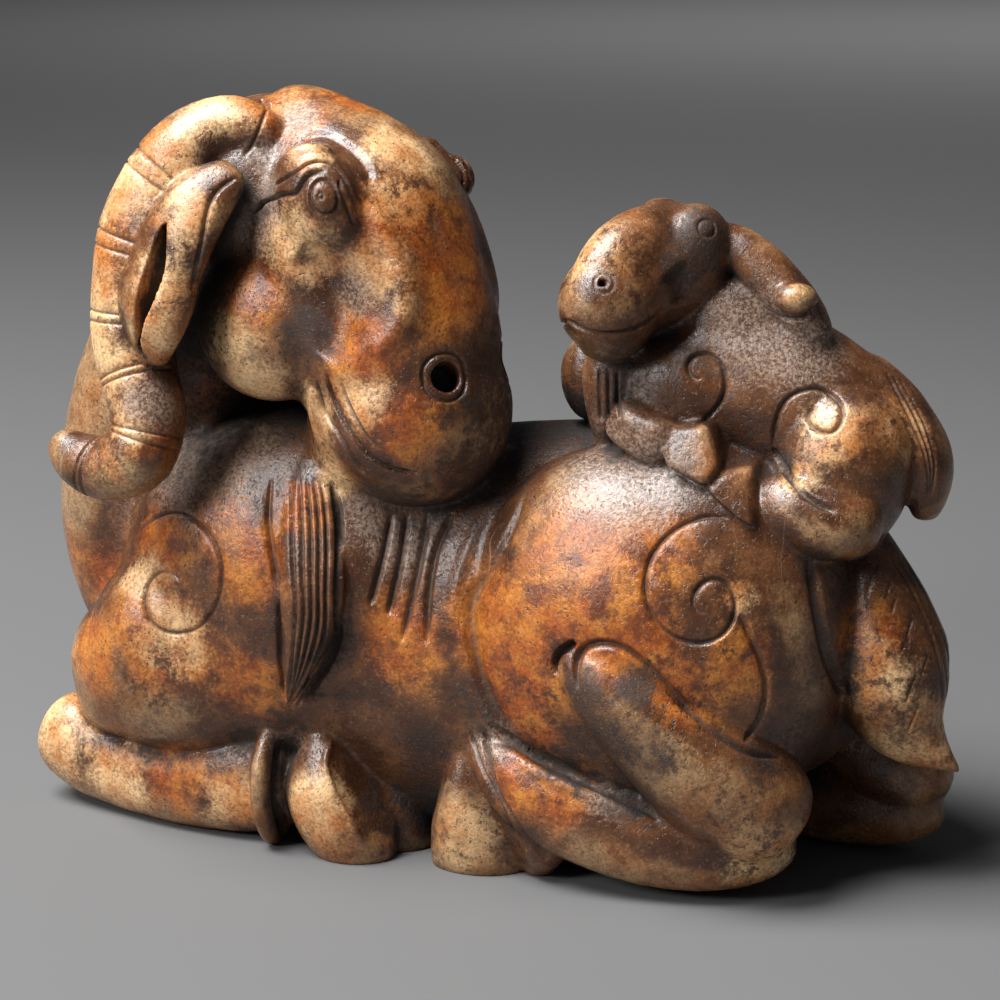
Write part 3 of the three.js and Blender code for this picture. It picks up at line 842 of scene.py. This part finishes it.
def near_line(points, line, reach):
    """The points within reach of a line, how far off each is and how far along the line."""
    path = line["path"]
    inside = np.all((points > path.min(0) - reach) & (points < path.max(0) + reach), axis=1)
    index = np.flatnonzero(inside)
    if not len(index):
        return index, np.zeros(0), np.zeros(0)
    length = np.concatenate([[0], np.cumsum(np.linalg.norm(np.diff(path, axis=0), axis=1))])
    even = np.arange(0, length[-1], SPACING)
    dense = np.stack([np.interp(even, length, path[:, axis]) for axis in range(3)], axis=1)
    best, where = np.full(len(index), 1e9), np.zeros(len(index))
    for start in range(0, len(dense), BATCH):
        gap = np.linalg.norm(points[index][:, None] - dense[None, start:start + BATCH], axis=2)
        low = gap.argmin(1)
        value = gap[np.arange(len(index)), low]
        closer = value < best
        best[closer], where[closer] = value[closer], (start + low[closer]) / max(len(dense) - 1, 1)
    kept = best < reach
    return index[kept], best[kept], where[kept]


def marked_points(margin):
    """Which points of the skin lie in the strips under the lines."""
    points = points_of(figure)
    marked = np.zeros(len(points), bool)
    for line in lines:
        marked[near_line(points, line, min(line["half"], WIDEST_STRIP) + margin)[0]] = True
    return marked


def thinned(piece, faces, group=None):
    triangles = sum(len(polygon.vertices) - 2 for polygon in piece.data.polygons)
    settings = {"ratio": min(1, faces / triangles)}
    if group:
        settings["vertex_group"] = group
    modified(piece, "DECIMATE", **settings)


marked = marked_points(SPARED)
undrawn = figure.vertex_groups.new(name="undrawn")
undrawn.add([int(i) for i in np.flatnonzero(~marked)], 1.0, "REPLACE")
strip_faces = 2 * int(marked.sum())  # a skin has about two triangles to each point
thinned(figure, strip_faces + EVEN_SHARE * FACES, "undrawn")
marked = marked_points(DIVIDED)
chosen = [bool(marked[list(polygon.vertices)].all()) for polygon in figure.data.polygons]
edit_all(figure)
bpy.ops.mesh.select_mode(type="FACE")
bpy.ops.mesh.select_all(action="DESELECT")
bpy.ops.object.mode_set(mode="OBJECT")
figure.data.polygons.foreach_set("select", chosen)
bpy.ops.object.mode_set(mode="EDIT")
bpy.ops.mesh.subdivide(number_cuts=1)
bpy.ops.object.mode_set(mode="OBJECT")
modified(figure, "SHRINKWRAP", target=guide, wrap_method="NEAREST_SURFACEPOINT")
bpy.data.objects.remove(guide)
print("the divided skin has", len(figure.data.polygons), "faces")


# %% Cut the lines
def sorted_points(points):
    """The points in a tree, in which the nearest ones are found fast."""
    tree = KDTree(len(points))
    for i, point in enumerate(points):
        tree.insert(point, i)
    tree.balance()
    return tree


points, normals = points_of(figure), points_of(figure, "normal")
cut, raised, dirt = (np.zeros(len(points)) for _ in range(3))
for line in lines:
    index, gap, along = near_line(points, line, line["half"])
    end = np.ones(len(index))
    if line["taper"]:
        end = np.clip(np.minimum(along, 1 - along) / line["taper"], 0, 1) ** 0.5
    width = line["half"] * (0.4 + 0.6 * end)  # a line also narrows towards its ends
    inside = np.clip(1 - gap / width, 0, 1)
    shape = inside * inside * (3 - 2 * inside) * end
    moved = raised if line["depth"] < 0 else cut
    moved[index] = np.maximum(moved[index], abs(line["depth"]) * shape)
    dirt[index] = np.maximum(dirt[index], line["dirt"] * shape)
points += normals * (raised - cut)[:, None]
points[:, 2] = np.maximum(points[:, 2], 0)
set_points(figure, points)
thinned(figure, FACES)
full_skin = sorted_points(points)
dirt = dirt[[full_skin.find(point)[1] for point in points_of(figure)]]
print("the cut skin has", len(figure.data.polygons), "faces")

# %% [markdown]
# ## Into the frame
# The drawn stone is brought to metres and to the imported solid's place. From here on it stands at the
# origin, unturned and unscaled, with its place in its mesh, which is how a library part is handed over.

# %% Bring it to metres
figure.data.transform(Matrix.Scale(MILLIMETRE, 4) @ Matrix.Translation(TO_FRAME))
figure.data.update()
only(figure)
bpy.ops.object.shade_smooth()
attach(figure, "root")
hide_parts("ram_and_kid")
print("the stone measures", [round(1000 * side, 1) for side in figure.dimensions], "mm")

# %% [markdown]
# ## Where the stone is dark or worn
# The stone is painted darkest where it is closed in, which is painted shade, and palest where it stands
# out and fingers rub. Rays sent out from each point tell how closed in it is. Smoothing the points and
# seeing how far each one sinks tells how much it stands out. Both are worked out on a thinned copy, because
# they change slowly, and laid on the fine skin.

# %% How closed in and how worn each point is
RAYS = 40  # rays sent out from each point
SHELTER = 0.026  # how far off another part of the stone still keeps the light out
START = 0.0004  # rays start this far off the skin, so that they don't hit it at once
SPARSE_FACES = 26000  # faces of the thinned copy
WEAR_ROUNDS = 12  # how often its points are smoothed
NEIGHBOURS = 4  # points of the thinned copy that a point of the fine skin takes its values from
EVENED = 0.0004  # added to how far off they are, so that the nearest doesn't outweigh the others


def closed_in(points, normals, faces):
    """The share of the light from all round that the stone itself keeps off each point."""
    turn = np.arange(RAYS) * math.pi * (3 - math.sqrt(5))  # the golden angle spreads them evenly
    height = np.sqrt(1 - (np.arange(RAYS) + 0.5) / RAYS)
    flat = np.sqrt(1 - height**2)
    fan = [Vector((f * math.cos(t), f * math.sin(t), h)) for f, t, h in zip(flat, turn, height)]
    shade = np.zeros(len(points))
    for i, (point, normal) in enumerate(zip(points, normals)):
        normal = Vector(normal)
        place, upright = Vector(point) + START * normal, normal.to_track_quat("Z", "Y").to_matrix()
        for ray in fan:
            gap = faces.ray_cast(place, upright @ ray, SHELTER)[3]
            if gap is not None:
                shade[i] += 1 - (gap / SHELTER) ** 2
    return shade / RAYS


def stands_out(points, normals, edges):
    """How far each point lies outside its smoothed place, in metres."""
    smooth = points.copy()
    count = np.bincount(edges.ravel(), minlength=len(points))[:, None]
    for _ in range(WEAR_ROUNDS):
        total = np.zeros_like(smooth)
        np.add.at(total, edges[:, 0], smooth[edges[:, 1]])
        np.add.at(total, edges[:, 1], smooth[edges[:, 0]])
        smooth = 0.5 * smooth + 0.5 * total / np.maximum(count, 1)
    return np.sum((points - smooth) * normals, axis=1)


sparse = twin(figure, "sparse")
thinned(sparse, SPARSE_FACES)
sparse_points, sparse_normals = points_of(sparse), points_of(sparse, "normal")
edges = np.array([edge.vertices[:] for edge in sparse.data.edges])
shade = closed_in(sparse_points, sparse_normals, faces_of(sparse))
wear = stands_out(sparse_points, sparse_normals, edges)
bpy.data.objects.remove(sparse)

near_by = sorted_points(sparse_points)
skin_points = points_of(figure)
recess, worn = np.zeros(len(skin_points)), np.zeros(len(skin_points))
for i, point in enumerate(skin_points):
    found = near_by.find_n(point, NEIGHBOURS)
    share = np.array([1 / (gap + EVENED) for _, _, gap in found])
    chosen = [index for _, index, _ in found]
    recess[i] = share @ shade[chosen] / share.sum()
    worn[i] = share @ wear[chosen] / share.sum()
print("closed in from", recess.min().round(2), "to", recess.max().round(2))
print("worn at 5 and 95 per cent:", (1000 * np.percentile(worn, [5, 95])).round(2), "mm")

# %% [markdown]
# ## Where the stains lie
# The pale and amber parts are the stone itself and its iron stain, though a few pale spots paint the
# highlight on the ram's nose ridge. The grey-brown film on the tops is old wax and dirt. The soot-and-shade
# spots, in and beside the hollows, are dark dirt and painted shade: shadow under the chin, on the back
# between the heads, in the crevices by the tail, the shoulder and the hooves, and on the shaded side of the
# muzzle. Mottled parts are pale stone peppered with brown. Each kind is laid on as a few soft round spots,
# and the material later frays their edges with noise. Spots of a flank are repeated on the other flank.

# %% Lay the stains
# Each spot is the place of its middle and its size, in the place and the millimetres of the shaping
SPOTS = {
    "pale_and_highlight": [
        (-45, -31, 148, 9), (-55, -38, 139, 9), (-63, -39, 131, 9), (-67, -40, 120, 9), (-68, -41, 109, 9),
        (-64, -43, 97, 8), (-59, -46, 87, 5), (-62, -45, 79, 6), (-47, -45, 128, 7), (-50, -48, 116, 7),
        (-53, -48, 105, 7), (-42, -38, 105, 8), (-37, -36, 95, 8), (-24, -40, 139, 5), (-11, -28, 140, 8),
        (-26, -40, 122, 10), (-25, -35, 90, 7), (-22, -32, 79, 7), (-89, -18, 16, 12), (-72, -26, 9, 9),
        (-46, -32, 8, 8), (-25, -37, 11, 8), (-12, -39, 95, 7), (4, -37, 8, 9), (-56, -36, 44, 9),
        # the first three spots of this row paint the highlight along the crest of the nose ridge
        (-8, -37, 118, 4), (-6, -38, 112, 4), (-10, -39, 105, 3), (-62, -33, 52, 8), (58, -36, 61, 4),
        (72, -24, 90, 7), (67, -26, 81, 5), (84, -16, 90, 7), (28, -27, 121, 8), (64, -20, 114, 3),
        (90, -17, 32, 9), (64, -37, 10, 10), (82, -22, 44, 8), (-11, -39, 120, 8), (-10, -35, 130, 7),
        (-34, -24, 145, 6), (-21, -40, 131, 4),
    ],
    "amber": [
        (11, -37, 52, 12), (16, -38, 41, 12), (27, -40, 64, 13), (35, -42, 55, 12), (20, -35, 29, 10),
        (-78, -17, 49, 8), (-39, -37, 60, 9), (-39, -36, 34, 9), (-74, -31, 37, 9), (1, -32, 116, 11),
        (-14, -41, 104, 9), (-5, -41, 90, 8), (-8, -35, 128, 10), (-33, -26, 146, 9), (-54, -18, 91, 9),
        (-37, -39, 112, 8), (25, -40, 19, 7), (16, -39, 21, 6), (48, -40, 43, 8), (41, -41, 53, 8),
        (79, -20, 50, 8), (-24, -17, 148, 8), (58, -36, 49, 7), (-29, -34, 71, 6), (-57, -44, 84, 6),
        (-84, -2, 52, 12), (-74, -6, 98, 9), (-86, 0, 74, 8), (-58, -33, 42, 12), (-60, -30, 60, 9),
        (-45, -37, 66, 8), (1, -27, 123, 9), (40, -39, 70, 10), (-60, -28, 12, 9), (-9, -34, 46, 9),
        (25, -41, 58, 9), (17, -39, 48, 9),
    ],
    "film": [
        (-44, -26, 82, 10), (-56, -27, 76, 11), (28, -28, 84, 9), (38, -33, 81, 11), (-10, -30, 65, 7),
        (-16, -33, 70, 6), (56, -16, 107, 10), (64, -17, 104, 9), (35, -23, 98, 5), (34, -40, 21, 5),
        (11, -33, 28, 6), (-34, -31, 22, 5), (-33, -36, 130, 6), (-37, -35, 125, 6), (-16, -41, 114, 5),
        (-56, -44, 91, 6), (-37, -31, 139, 5), (-31, -27, 145, 5), (-50, 4, 110, 16), (-70, 0, 70, 14),
        (-40, 0, 84, 14),
    ],
    # dark dirt and painted shade: shadow under the chin, between the heads, in crevices and on shaded sides
    "soot_and_shade": [
        (-10, -33, 75, 8), (-23, -36, 46, 7), (10, -8, 85, 13), (36, -45, 34, 7), (40, -39, 23, 7),
        (31, -45, 43, 5), (7, -34, 36, 6), (28, -42, 30, 6), (60, -36, 28, 6), (-25, -39.5, 106, 7),
        (33, -28, 100, 8), (44, -26, 106, 7), (0, -20, 10, 16), (72, -20, 24, 10), (9, -27, 102, 10),
        (73, -22, 58, 5), (74, -21, 46, 6), (75, -12, 33, 7), (71, -30, 67, 4), (-66, -27, 16, 4),
        (-56, -25, 17, 5), (-43, -30, 22, 5), (-34, -33, 28, 5), (-17, -31, 12, 4), (-14, -29, 4, 5),
        (-10, -24, 12, 6), (-4, -32, 26, 6), (5, -22, 76, 8), (-3, -28, 73, 6), (32, -45, 41, 5),
        (24, -37, 26, 6), (38, -45, 34, 5), (41, -44, 44, 5), (46, -46, 31, 4), (9, -33, 92, 5),
        (31, -29, 117, 4), (42, -22, 118, 5), (20, 0, 84, 12), (8, -28, 92, 11), (4, -32, 80, 9),
        (45, -19, 124, 7), (25, -19, 93, 5),
    ],
    "mottled": [
        (72, -24, 88, 11), (68, -26, 79, 11), (30, -28, 120, 10), (34, -33, 114, 8), (62, -40, 16, 15),
        (42, -43, 36, 12), (84, -18, 44, 13), (54, -36, 58, 12), (60, -17, 110, 8), (84, -16, 90, 9),
        (10, -38, 92, 11), (-60, -34, 34, 8), (20, -38, 36, 9), (-6, -35, 130, 8),
    ],
}


def spotted(spots):
    """How strongly each point of the skin lies in the spots: wholly up to half a spot's size from its
    middle, and not at all from one and a half times its size."""
    strength = np.zeros(len(skin_points))
    for x, y, z, size in spots:
        for side in BOTH:
            centre = (np.array(on_flank(side)((x, y, z))) + TO_FRAME) * MILLIMETRE
            gap = np.linalg.norm(skin_points - centre, axis=1) / (size * MILLIMETRE)
            strength = np.maximum(strength, np.clip(1.5 - gap, 0, 1))
    return strength


# recess later sets the painted shade of the hollows
weights = {"dirt": dirt, "recess": recess, "worn": worn / MILLIMETRE}
weights.update({kind: spotted(spots) for kind, spots in SPOTS.items()})
for name, values in weights.items():
    weight = figure.data.attributes.new(name, "FLOAT", "POINT")
    weight.data.foreach_set("value", values.astype(np.float32))
    print(name, "covers", int(100 * np.mean(values > 0.5)), "per cent")

# %% [markdown]
# ## The stone's colour and polish
# Colour is built up the way the stone was: brown body, amber and honey stains, pale worn edges, a grey film,
# dark specks and black dirt in the lines. Over them lie painted shade, near-black in the hollows, and dark
# spots that are partly dirt and partly painted shadow, and a few pale spots paint a highlight on the nose
# ridge. Noise is added to each weight before it is cut off sharply, so that a stain ends raggedly. The film,
# the dirt and the painted shade are duller than the polished stone under them. A little light goes into the
# skin and comes out warmer, as it does in such a stone.

# %% Node helpers
stone = bpy.data.materials.new("stone")
stone.use_nodes = True
nodes, links = stone.node_tree.nodes, stone.node_tree.links
shader = nodes["Principled BSDF"]
coordinates = nodes.new("ShaderNodeTexCoord").outputs["Object"]


def feed(socket, value):
    """Links an output into a socket, or sets the socket to a fixed value."""
    if isinstance(value, bpy.types.NodeSocket):
        links.new(value, socket)
    else:
        socket.default_value = value


def node(kind, inputs, **settings):
    """A node with these settings. inputs holds what goes into each of its sockets."""
    made = nodes.new("ShaderNode" + kind)
    for name, value in settings.items():
        setattr(made, name, value)
    for socket, value in inputs.items():
        feed(made.inputs[socket], value)
    return made


def weight_of(name):
    return node("Attribute", {}, attribute_name=name).outputs["Fac"]


def maths(kind, first, second):
    return node("Math", {0: first, 1: second}, operation=kind).outputs["Value"]


def plus(first, second):
    return maths("ADD", first, second)


def minus(first, second):
    return maths("SUBTRACT", first, second)


def times(first, second):
    return maths("MULTIPLY", first, second)


def between(value, low, high, to_low=0.0, to_high=1.0):
    """0 below low, 1 above high and smooth between, or two other values."""
    inputs = {"Value": value, "From Min": low, "From Max": high, "To Min": to_low, "To Max": to_high}
    return node("MapRange", inputs, interpolation_type="SMOOTHSTEP").outputs["Result"]


def noise(size, detail=4.0, roughness=0.6, where=coordinates):
    """Noise whose blots are about this many metres wide."""
    inputs = {"Vector": where, "Scale": 1 / size, "Detail": detail, "Roughness": roughness}
    return node("TexNoise", inputs).outputs["Fac"]


def blend(amount, under, over):
    """A mix of two colours, which are the node's sockets 6 and 7."""
    return node("Mix", {0: amount, 6: under, 7: over}, data_type="RGBA").outputs[2]


def paint(red, green, blue):
    """A colour as a picture editor shows it, from 0 to 255, in the linear values that a shader takes."""
    return (*(((c / 255 + 0.055) / 1.055) ** 2.4 for c in (red, green, blue)), 1.0)


print("node helpers ready")

# %% Stone colours and stains
MOTTLE, GRAIN, GRIT = noise(0.009, 6), noise(0.0022, 4, 0.65), noise(0.0007, 3, 0.7)


def frayed(name, clouds, dust):
    """A weight with broad and fine noise added, so that its edge is ragged once it is cut off."""
    broad = times(minus(MOTTLE, 0.5), clouds)
    fine = times(minus(plus(GRAIN, GRIT), 1.0), dust)
    return plus(weight_of(name), plus(broad, fine))


body = blend(between(MOTTLE, 0.36, 0.66), paint(66, 39, 24), paint(126, 81, 47))
amber = blend(between(MOTTLE, 0.38, 0.64), paint(172, 84, 24), paint(204, 128, 50))
rust = blend(between(noise(0.006, 5), 0.5, 0.66), amber, paint(122, 60, 26))
honey = blend(between(noise(0.013, 5), 0.36, 0.62), paint(198, 126, 66), paint(243, 200, 146))
pepper = times(between(noise(0.003, 7, 0.78), 0.5, 0.6), between(weight_of("mottled"), 0.1, 0.9, 0, 0.85))
# Each layer is how much of it shows and its colour, from the lowest to the topmost
layers = [
    (between(frayed("worn", 0.6, 0.3), 1.1, 2.2, 0, 0.4), honey),  # rubbed edges
    (between(frayed("amber", 1.5, 0.5), 0.25, 1.0), rust),
    (between(noise(0.0036, 6, 0.75), 0.36, 0.52, 0.55, 0), paint(80, 44, 24)),  # brown veins
    # pale stone, and a painted highlight on the nose ridge
    (between(frayed("pale_and_highlight", 1.5, 0.6), 0.4, 1.1), honey),
    (pepper, paint(64, 38, 22)),
]
print(len(layers), "layers of stone")

# %% Film, soot and painted shade, specks and dirt
film = between(frayed("film", 0.9, 0.6), 0.2, 1.1, 0, 0.78)
# dark dirt and painted shade, in the spots laid for them
soot_and_shade = between(frayed("soot_and_shade", 1.2, 1.8), 0.35, 1.05, 0, 0.88)
# dark specks, crowding where the stone is closed in, so that the painted shade of the hollows frays out
specks = between(plus(noise(0.0009, 3, 0.6), times(weight_of("recess"), 0.16)), 0.6, 0.68)
clusters = between(noise(0.014, 3), 0.36, 0.56)
# painted shade: the stone is darkened where it is closed in, with a ragged edge
painted_hollow_shade = between(frayed("recess", 0.6, 0.8), 0.24, 0.64)
dirty = frayed("dirt", 0.2, 0.5)
groove = between(dirty, 0.15, 0.65)
layers += [
    (film, blend(between(GRIT, 0.38, 0.6), paint(100, 79, 65), paint(164, 142, 125))),
    # dark dirt and painted shade
    (soot_and_shade, paint(36, 27, 22)),
    (between(GRIT, 0.4, 0.56, 0.38, 0), paint(84, 46, 25)),  # dark grains
    (between(GRIT, 0.58, 0.7, 0, 0.2), paint(226, 184, 136)),  # bright grains
    (times(specks, times(clusters, 0.75)), paint(56, 36, 24)),
    # painted shade in the hollows
    (times(painted_hollow_shade, 0.93), paint(28, 20, 16)),
    (times(groove, 0.6), paint(84, 66, 54)),  # dry dirt along a line
    (between(dirty, 0.55, 0.9, 0, 0.8), paint(34, 24, 18)),  # black dirt at its bottom
]
print(len(layers), "layers with the dirt")

# %% Thin scratches
LEAN = (0.6, 0.9, 0.2)  # the way that most scratches run, as angles about the three axes
drawn_out = node("Mapping", {"Vector": coordinates, "Rotation": LEAN, "Scale": (1, 1, 0.12)})
long_noise = noise(0.012, 1, 0.5, drawn_out.outputs["Vector"])
# A scratch is where the drawn-out noise passes its middle, which makes a thin line
scratches = maths("LESS_THAN", maths("ABSOLUTE", minus(long_noise, 0.5), 0), 0.0016)
scratches = times(scratches, between(noise(0.02, 2), 0.6, 0.66))
layers.append((times(scratches, 0.3), paint(196, 176, 156)))
print(len(layers), "layers with the scratches")

# %% Mix the colour
colour = body
for amount, over in layers:
    colour = blend(amount, colour, over)
feed(shader.inputs["Base Color"], colour)
print("the colour is mixed from", len(nodes), "nodes")

# %% Polish, pits and glow
dull = plus(times(film, 0.08), times(maths("MAXIMUM", painted_hollow_shade, soot_and_shade), 0.4))
polish = plus(between(GRAIN, 0.3, 0.7, 0.22, 0.36), plus(dull, times(groove, 0.2)))
feed(shader.inputs["Roughness"], polish)
pits = minus(times(GRAIN, 0.5), times(specks, 0.5))
relief = plus(pits, times(GRIT, 0.85))
bump = node("Bump", {"Strength": 0.5, "Distance": 0.0003, "Height": relief})
feed(shader.inputs["Normal"], bump.outputs["Normal"])
shader.inputs["Subsurface Weight"].default_value = 0.12
shader.inputs["Subsurface Radius"].default_value = (1.0, 0.5, 0.25)
shader.inputs["Subsurface Scale"].default_value = 0.003
shader.inputs["IOR"].default_value = 1.6
figure.data.materials.clear()
figure.data.materials.append(stone)
print("the stone is finished")

# %% [markdown]
# ## A plain studio
# The floor is plain grey paper. One large soft lamp hangs above, on the left and towards the front, which
# puts the broad shine on the shoulder, the haunch and the kid's back. A small weak one stands lower at the
# front on the left, and a third lights only the far floor. The camera has a long lens, as a photographer
# of small things would use, and looks down a little from the tail side.

# %% Floor, lights and camera
PAPER_GREY = 0.148
bpy.ops.mesh.primitive_plane_add(size=16)
floor = bpy.context.object
floor.name = "floor"
paper = bpy.data.materials.new("paper")
paper.use_nodes = True
paper_shader = paper.node_tree.nodes["Principled BSDF"]
paper_shader.inputs["Base Color"].default_value = (PAPER_GREY, PAPER_GREY, PAPER_GREY, 1)
paper_shader.inputs["Roughness"].default_value = 0.9
floor.data.materials.append(paper)

world = bpy.data.worlds.new("studio")
bpy.context.scene.world = world
world.use_nodes = True
background = world.node_tree.nodes["Background"]
background.inputs["Color"].default_value = (0.9, 0.93, 1.0, 1)
background.inputs["Strength"].default_value = 0.07


def softbox(name, place, aim, size, power):
    data = bpy.data.lights.new(name, "AREA")
    data.shape = "RECTANGLE"
    data.size, data.size_y = size
    data.energy = power
    lamp = bpy.data.objects.new(name, data)
    bpy.context.scene.collection.objects.link(lamp)
    lamp.location = place
    lamp.rotation_euler = (Vector(aim) - Vector(place)).to_track_quat("-Z", "Y").to_euler()


STONE = (0, 0, 0.07)
FAR_FLOOR = (0, 4.0, 0)
softbox("top", (-0.5, -0.36, 1.15), STONE, size=(0.8, 0.7), power=36)
softbox("front_left", (-0.6, -0.85, 0.55), STONE, size=(0.3, 0.3), power=5.5)
softbox("behind", (0.2, 2.6, 1.6), FAR_FLOOR, size=(2.5, 1.0), power=42)

LOOKED_AT = (TO_FRAME + Vector((0, 0, 67))) * MILLIMETRE  # a little below the stone's middle
TURN, RISE, DISTANCE = math.radians(18), math.radians(13), 0.560
back = Vector((math.sin(TURN) * math.cos(RISE), -math.cos(TURN) * math.cos(RISE), math.sin(RISE)))
camera_data = bpy.data.cameras.new("camera")
camera_data.lens, camera_data.sensor_width = 100, 36
camera = bpy.data.objects.new("camera", camera_data)
bpy.context.scene.collection.objects.link(camera)
camera.location = LOOKED_AT + back * DISTANCE
camera.rotation_euler = (-back).to_track_quat("-Z", "Y").to_euler()
bpy.context.scene.camera = camera
bpy.context.scene.view_settings.view_transform = "Standard"
print("the camera stands at", [round(place, 3) for place in camera.location], "m")
